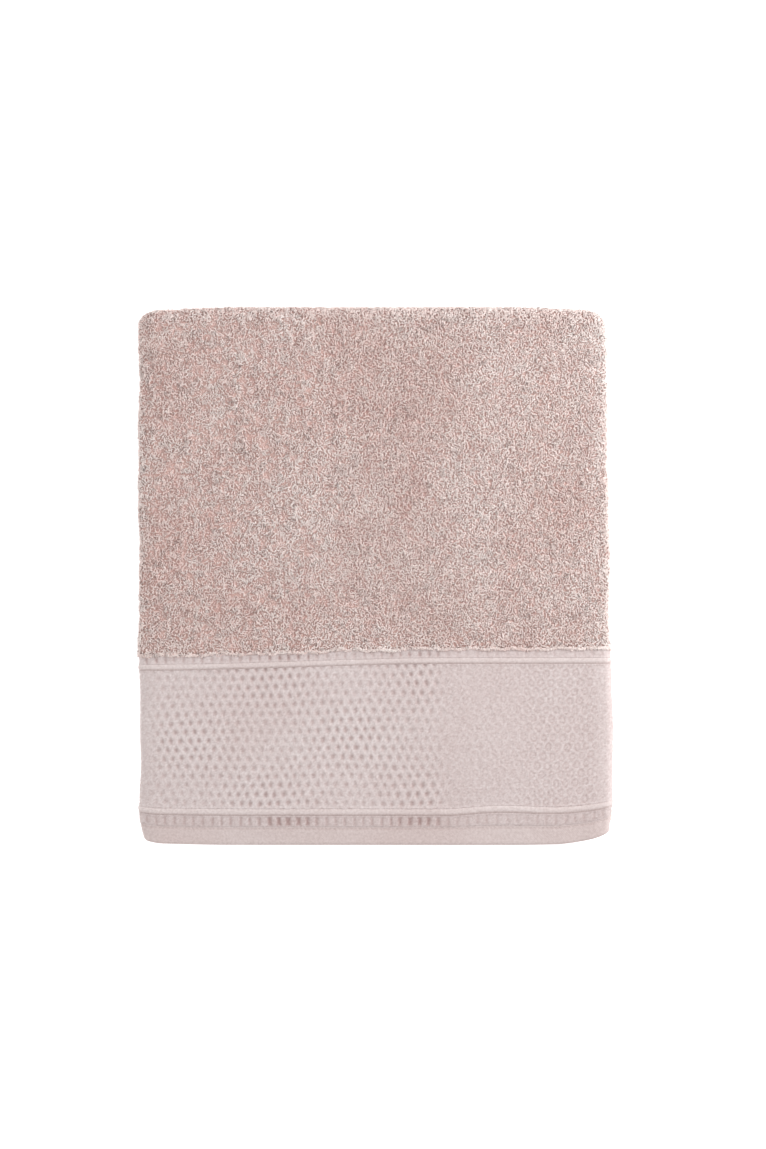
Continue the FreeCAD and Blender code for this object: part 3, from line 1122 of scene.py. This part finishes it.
def side_places(panel, begin, end):
    """Places on the two side creases of a panel, clear of its neighbours."""
    left_limits = (LEFT_SKIN_END + LEFT_CLEARANCE, FOLD_LEFT - LEFT_CLEARANCE)
    right_limits = (FOLD_RIGHT + RIGHT_CLEARANCE, RIGHT_SKIN_END - RIGHT_CLEARANCE)
    left = scatter(panel, left_limits, (begin, end), SIDE_PITCH)
    right = scatter(panel, right_limits, (begin, end), SIDE_PITCH)
    return np.concatenate([left[0], right[0]]), np.concatenate([left[1], right[1]])


def bend_places(panel, side):
    """Places on the outer skin of a panel's bend, clear of the floor and the neighbours."""
    if side > 0:
        limits = (panel.end + BEND_CLEARANCE, panel.end + OUTER_BEND_LENGTH)
        return scatter(panel, (FOLD_LEFT, FOLD_RIGHT), limits, SIDE_PITCH)
    limits = (panel.start - OUTER_BEND_LENGTH, panel.start - BEND_CLEARANCE)
    flap_skin = RIGHT_SKIN_END + (RIGHT_HEM_START - RIGHT_TURN_END)
    return scatter(panel, (RIGHT_SKIN_END, flap_skin), limits, SIDE_PITCH)


def pile_of_front():
    """The pile of the front panel, in pieces one above the other, and its fringe."""
    skin_end = FRONT.end + OUTER_BEND_LENGTH
    cuts = np.linspace(FRONT.terry_start - PILE_OVERLAP, skin_end, PILE_PIECES + 1)
    grown = []
    for number in range(PILE_PIECES):
        limits = cuts[number:number + 2]
        places = scatter(FRONT, (LEFT_SKIN_END, RIGHT_SKIN_END), limits, PILE_PITCH)
        grown.append(grow_pile(f"front_pile_{number + 1}", FRONT, *places))
    return grown + [grow_fringe(FRONT)]


def pile_of_creases(panel):
    """The pile round the creases of a panel that lies under another."""
    skin_end = panel.end + OUTER_BEND_LENGTH
    begin = panel.start - OUTER_BEND_LENGTH if -1 in panel.bends else panel.terry_start
    grown = [grow_pile(panel.name + "_side_pile", panel, *side_places(panel, begin, skin_end))]
    grown.append(grow_pile(panel.name + "_top_crease_pile", panel, *bend_places(panel, 1)))
    if -1 in panel.bends:
        grown.append(grow_pile(panel.name + "_lower_crease_pile", panel, *bend_places(panel, -1)))
    return grown


piles = {panel.name: pile_of_creases(panel) for panel in PANELS if panel is not FRONT}
piles[FRONT.name] = pile_of_front()

# %% [markdown]
# ## Stitches
# A lockstitch shows as a row of short runs of thread, each sunk at both ends. The
# same arch as the loop's, longer and thinner, is copied along every seam.

# %% Sew the hems
STITCH_PITCH = 3.0 * MM
STITCH_SWAY = math.radians(3)
STITCH_INSET = 1.5 * MM
SIDE_STITCH_SINK = 0.12 * MM
END_STITCH_SINK = 0.5 * MM


def sew(name, panel, across, along, height, heading):
    """A row of stitches at these places, all turned one way."""
    count = len(across)
    turned = heading + STITCH_SWAY * rng.standard_normal(count)
    plain = np.ones((count, 3))
    none = np.zeros(count)
    return place_arches(name, panel, STITCH, across, along, height, turned, none, none, plain, none)


def sew_side_hems(panel):
    """The seams of a panel's two side hems, on the side that shows."""
    low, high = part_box(panel.name + "_right_side_hem")
    height = (high.z - low.z) / 2 - SIDE_STITCH_SINK
    row = np.arange(panel.start + 2 * MM, panel.end, STITCH_PITCH)
    along = np.concatenate([row, row])
    seams = (RIGHT_HEM_START + STITCH_INSET, LEFT_HEM_START - STITCH_INSET)
    across = np.repeat(seams, len(row))
    return sew(panel.name + "_side_stitches", panel, across, along, height, 0.0)


def sew_end_hem(panel):
    """The seam that closes an end hem."""
    low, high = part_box(panel.name + "_hem_stitching")
    across = np.arange(low.x, high.x, STITCH_PITCH)
    along = np.full(len(across), (low.y + high.y) / 2)
    height = PLY / 2 - recess_of(panel, "hem") - END_STITCH_SINK
    return sew(panel.name + "_end_stitches", panel, across, along, height, math.pi / 2)


side_stitches = {panel.name: sew_side_hems(panel) for panel in PANELS}
end_stitches = {panel.name: sew_end_hem(panel) for panel in (BASE, FRONT)}
print("sewn:", [piece.name for piece in (*side_stitches.values(), *end_stitches.values())])

# %% [markdown]
# ## The terry finish
# Dyed cotton terry is an old rose. The loops are painted a creamy pink at their tips,
# as painted highlight, and a warmer, browner pink deep between them, as painted shade.
# Each point of a loop knows its loop's own random colour, lightened by painted light at
# the rims and darkened by painted shade in brushed patches, and how far it stands out
# of the ground; both are stored with the mesh. Under the loops the ground is painted a
# deeper rose, as painted shade. On the pressed pile between the panels, small cells of
# painted shade and bump stand for the loops.

# %% Mix the terry finish
TIP_HIGHLIGHT_PINK = (0.97, 0.885, 0.85)
DEEP_SHADE_PINK = (0.90, 0.70, 0.655)
PIT_SHADE_PINK = (0.83, 0.55, 0.50)
ROOT_SHADE_PINK = (0.68, 0.48, 0.435)
PRESSED_LIT_PINK = (0.72, 0.618, 0.592)
PRESSED_SHADE_PINK = (0.50, 0.35, 0.32)
PATCH_PINK = (0.965, 0.92, 0.91)
MOTTLE_PINK = (0.95, 0.905, 0.90)
WHITE = (1, 1, 1)


def noise(tree, place, scale, detail):
    """Soft random values over the towel, about 0.5 on average."""
    texture = add_node(tree, "TexNoise", {"Vector": place, "Scale": scale, "Detail": detail})
    return texture.outputs["Fac"]


def combed(tree, place, along_scale):
    """Places drawn out along the towel, so that a pattern on them is longer than wide."""
    scale = (1.0, along_scale, 1.0)
    return add_node(tree, "Mapping", {"Vector": place, "Scale": scale}).outputs["Vector"]


def drifting_patches(tree, place, colour):
    """Darken and warm a colour in wide soft patches."""
    drawn_out = combed(tree, place, 0.6)
    wide = noise(tree, drawn_out, 17.0, 4.0)
    fine = noise(tree, drawn_out, 90.0, 2.0)
    warmed = mix_colours(tree, spread(tree, wide, 0.38, 0.68), WHITE, PATCH_PINK)
    mottled = mix_colours(tree, spread(tree, fine, 0.35, 0.72), WHITE, MOTTLE_PINK)
    patched = mix_colours(tree, 1.0, colour, warmed, "MULTIPLY")
    return mix_colours(tree, 1.0, patched, mottled, "MULTIPLY")


def add_bump(tree, shader, height, strength, distance):
    """Roughen a finish by a value, over this distance in metres."""
    inputs = {"Strength": strength, "Distance": distance, "Height": height}
    bump = add_node(tree, "Bump", inputs)
    tree.links.new(bump.outputs["Normal"], shader.inputs["Normal"])


def loop_finish():
    """Terry yarn on the loops themselves."""
    finish, tree, shader = new_finish("terry_loops", 0.92, 0.1)
    place = add_node(tree, "TexCoord").outputs["Object"]
    tone = add_node(tree, "Attribute", attribute_name="tone").outputs["Fac"]
    tip = add_node(tree, "Attribute", attribute_name="tip").outputs["Fac"]
    # Painted light: the colour follows how far a point stands out of the ground, a painted
    # highlight on the tips and painted shade deep between the loops and in the pits.
    lit = add_node(tree, "Math", {0: tone, 1: 0.5, 2: tip}, operation="MULTIPLY_ADD").outputs[0]
    colour = mix_colours(tree, spread(tree, lit, 0.6, 1.25), DEEP_SHADE_PINK, TIP_HIGHLIGHT_PINK)
    colour = mix_colours(tree, spread(tree, lit, 0.25, 0.8), PIT_SHADE_PINK, colour)
    colour = drifting_patches(tree, place, colour)
    tree.links.new(colour, shader.inputs["Base Color"])
    add_bump(tree, shader, noise(tree, place, 2600.0, 2.0), 0.35, 0.3 * MM)
    return finish


def ground_finish():
    """Terry pressed flat, and the ground under the loops."""
    finish, tree, shader = new_finish("terry_ground", 0.95, 0.25)
    place = add_node(tree, "TexCoord").outputs["Object"]
    drawn_out = combed(tree, place, 0.5)
    cells = add_node(tree, "TexVoronoi", {"Vector": drawn_out, "Scale": 560.0})
    curl = noise(tree, drawn_out, 900.0, 3.0)
    # Painted shade: each pressed nub is lighter in its middle and darker at its edges.
    rounded = spread(tree, cells.outputs["Distance"], 0.75, 0.1)
    pile = add_node(tree, "Math", {0: rounded, 1: curl}, operation="MULTIPLY").outputs[0]
    colour = mix_colours(tree, spread(tree, pile, 0.0, 0.42), PRESSED_SHADE_PINK, PRESSED_LIT_PINK)
    # Painted shade on the ground under the loops.
    under_loops = add_node(tree, "Attribute", attribute_name="relief").outputs["Fac"]
    colour = mix_colours(tree, under_loops, colour, ROOT_SHADE_PINK)
    colour = drifting_patches(tree, place, colour)
    tree.links.new(colour, shader.inputs["Base Color"])
    add_bump(tree, shader, pile, 0.9, 1.2 * MM)
    return finish


TERRY_LOOPS = loop_finish()
TERRY_GROUND = ground_finish()
print("terry finishes:", TERRY_LOOPS.name, "and", TERRY_GROUND.name)

# %% [markdown]
# ## The woven finishes
# Without pile the same yarn looks smoother, paler and cooler. Each finish has a pale
# colour for the threads and a deep one that stands for shade, and the depth of colour
# stored with the mesh mixes them: painted shade in the pits, rings, slits, grooves and
# round edges, painted highlight on the raised threads and rib crowns, and a random
# yarn colour. The threads themselves are fine waves across the flat cloth, and the
# hem is a twill, so its waves run on the slant.

# %% Mix the woven finishes
# Each entry: the thread colour, a deep colour for painted shade, the slant of the threads and the
# strength of their bump.
WOVEN = {
    "waffle_weave": ((0.74, 0.668, 0.66), (0.46, 0.335, 0.32), 0.0, 0.5),
    "rib_weave": ((0.735, 0.66, 0.648), (0.46, 0.34, 0.32), 0.0, 0.35),
    "hem_twill": ((0.685, 0.595, 0.58), (0.50, 0.38, 0.365), math.radians(45), 0.45),
    "sewing_thread": ((0.70, 0.60, 0.585), (0.55, 0.45, 0.43), 0.0, 0.2),
}
FUZZ_DARK = (0.9, 0.87, 0.86)
FUZZ_PALE = (1.06, 1.06, 1.06)
DRIFT_PINK = (0.965, 0.94, 0.935)
THREAD_SPACING = 0.62 * MM
WEFT_STRETCH = 1.3
WAVES_PER_METRE = 2 * math.pi / 20


def thread_waves(tree, flat, spacing, direction):
    """Rows of threads, this far apart, as a wave from 0 to 1."""
    scale = WAVES_PER_METRE / spacing
    inputs = {"Vector": flat, "Scale": scale, "Distortion": 1.2, "Detail": 1.0}
    wave = add_node(tree, "TexWave", inputs, bands_direction=direction)
    return wave.outputs["Fac"]


def woven_finish(name, pale, pit, slant, bump_strength):
    """A weave without pile: threads in two directions, darker where the relief is deep."""
    finish, tree, shader = new_finish(name, 0.85, 0.2)
    coordinates = add_node(tree, "TexCoord").outputs
    turned = {"Vector": coordinates["UV"], "Rotation": (0, 0, slant)}
    flat = add_node(tree, "Mapping", turned).outputs["Vector"]
    warp = thread_waves(tree, flat, THREAD_SPACING, "X")
    weft = thread_waves(tree, flat, THREAD_SPACING * WEFT_STRETCH, "Y")
    relief = add_node(tree, "Attribute", attribute_name="relief").outputs["Fac"]
    fuzz = noise(tree, coordinates["Object"], 620.0, 3.0)
    wide = noise(tree, coordinates["Object"], 16.0, 2.0)
    # Painted shade: the depth of colour mixes the pale thread colour towards the deep one.
    colour = mix_colours(tree, relief, pale, pit)
    fuzz_shade = mix_colours(tree, spread(tree, fuzz, 0.3, 0.7), FUZZ_DARK, FUZZ_PALE)
    wide_shade = mix_colours(tree, spread(tree, wide, 0.35, 0.7), WHITE, DRIFT_PINK)
    colour = mix_colours(tree, 1.0, colour, fuzz_shade, "MULTIPLY")
    colour = mix_colours(tree, 1.0, colour, wide_shade, "MULTIPLY")
    tree.links.new(colour, shader.inputs["Base Color"])
    crossed = add_node(tree, "Math", {0: warp, 1: weft}, operation="MULTIPLY").outputs[0]
    rough = add_node(tree, "Math", {0: crossed, 1: fuzz}, operation="ADD").outputs[0]
    add_bump(tree, shader, rough, bump_strength, 0.4 * MM)
    return finish


WAFFLE_WEAVE, RIB_WEAVE, HEM_TWILL, SEWING_THREAD = [
    woven_finish(name, *settings) for name, settings in WOVEN.items()
]
print("woven finishes:", list(WOVEN))

# %% [markdown]
# ## Joining everything to the panels
# Every piece gets its finish, rides on its panel and stands for the plain solids of
# the frame, which are hidden.

# %% Dress the panels
def finish_piece(piece, panel, finish, slot, *nodes):
    """Give a piece its finish, its panel and the nodes that it stands for."""
    piece.data.materials.append(finish)
    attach(piece, panel.body)
    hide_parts(*[panel.name + "_" + node for node in nodes])


ZONE_FINISH = {
    "hem": (HEM_TWILL, "hem_weave"),
    "lower_cell_band": (WAFFLE_WEAVE, "waffle_weave"),
    "lower_cord": (RIB_WEAVE, "woven_cord"),
    "waffle_border": (WAFFLE_WEAVE, "waffle_weave"),
    "upper_cord": (RIB_WEAVE, "woven_cord"),
    "upper_cell_band": (WAFFLE_WEAVE, "waffle_weave"),
}
TERRY_NODES = ("middle_ply", "left_flap", "right_flap", "top_crease")
for panel in PANELS:
    ground = terry_grounds[panel.name]
    nodes = TERRY_NODES + ("lower_crease",) if -1 in panel.bends else TERRY_NODES
    finish_piece(ground, panel, TERRY_GROUND, "terry", *nodes)
    with_terry = list(piles[panel.name])
    for pile in piles[panel.name]:
        finish_piece(pile, panel, TERRY_LOOPS, "terry")
    inner, outer = side_hems[panel.name]
    finish_piece(inner, panel, HEM_TWILL, "hem_weave", "left_side_hem")
    finish_piece(outer, panel, HEM_TWILL, "hem_weave", "right_side_hem")
    finish_piece(side_stitches[panel.name], panel, SEWING_THREAD, "sewing_thread", "side_stitching")
    with_terry += [inner, outer, side_stitches[panel.name]]

for panel in (BASE, FRONT):
    zones = borders[panel.name]
    for node, piece in zones.items():
        finish_piece(piece, panel, *ZONE_FINISH[node], node)
    finish_piece(end_stitches[panel.name], panel, SEWING_THREAD, "sewing_thread", "hem_stitching")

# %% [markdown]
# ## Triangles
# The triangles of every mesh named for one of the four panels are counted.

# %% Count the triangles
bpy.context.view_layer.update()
triangles = sum(
    len(face.vertices) - 2
    for piece in bpy.data.objects
    if piece.type == "MESH" and piece.name.split("_")[0] in {panel.name for panel in PANELS}
    for face in piece.data.polygons
)
print("about", triangles, "triangles")
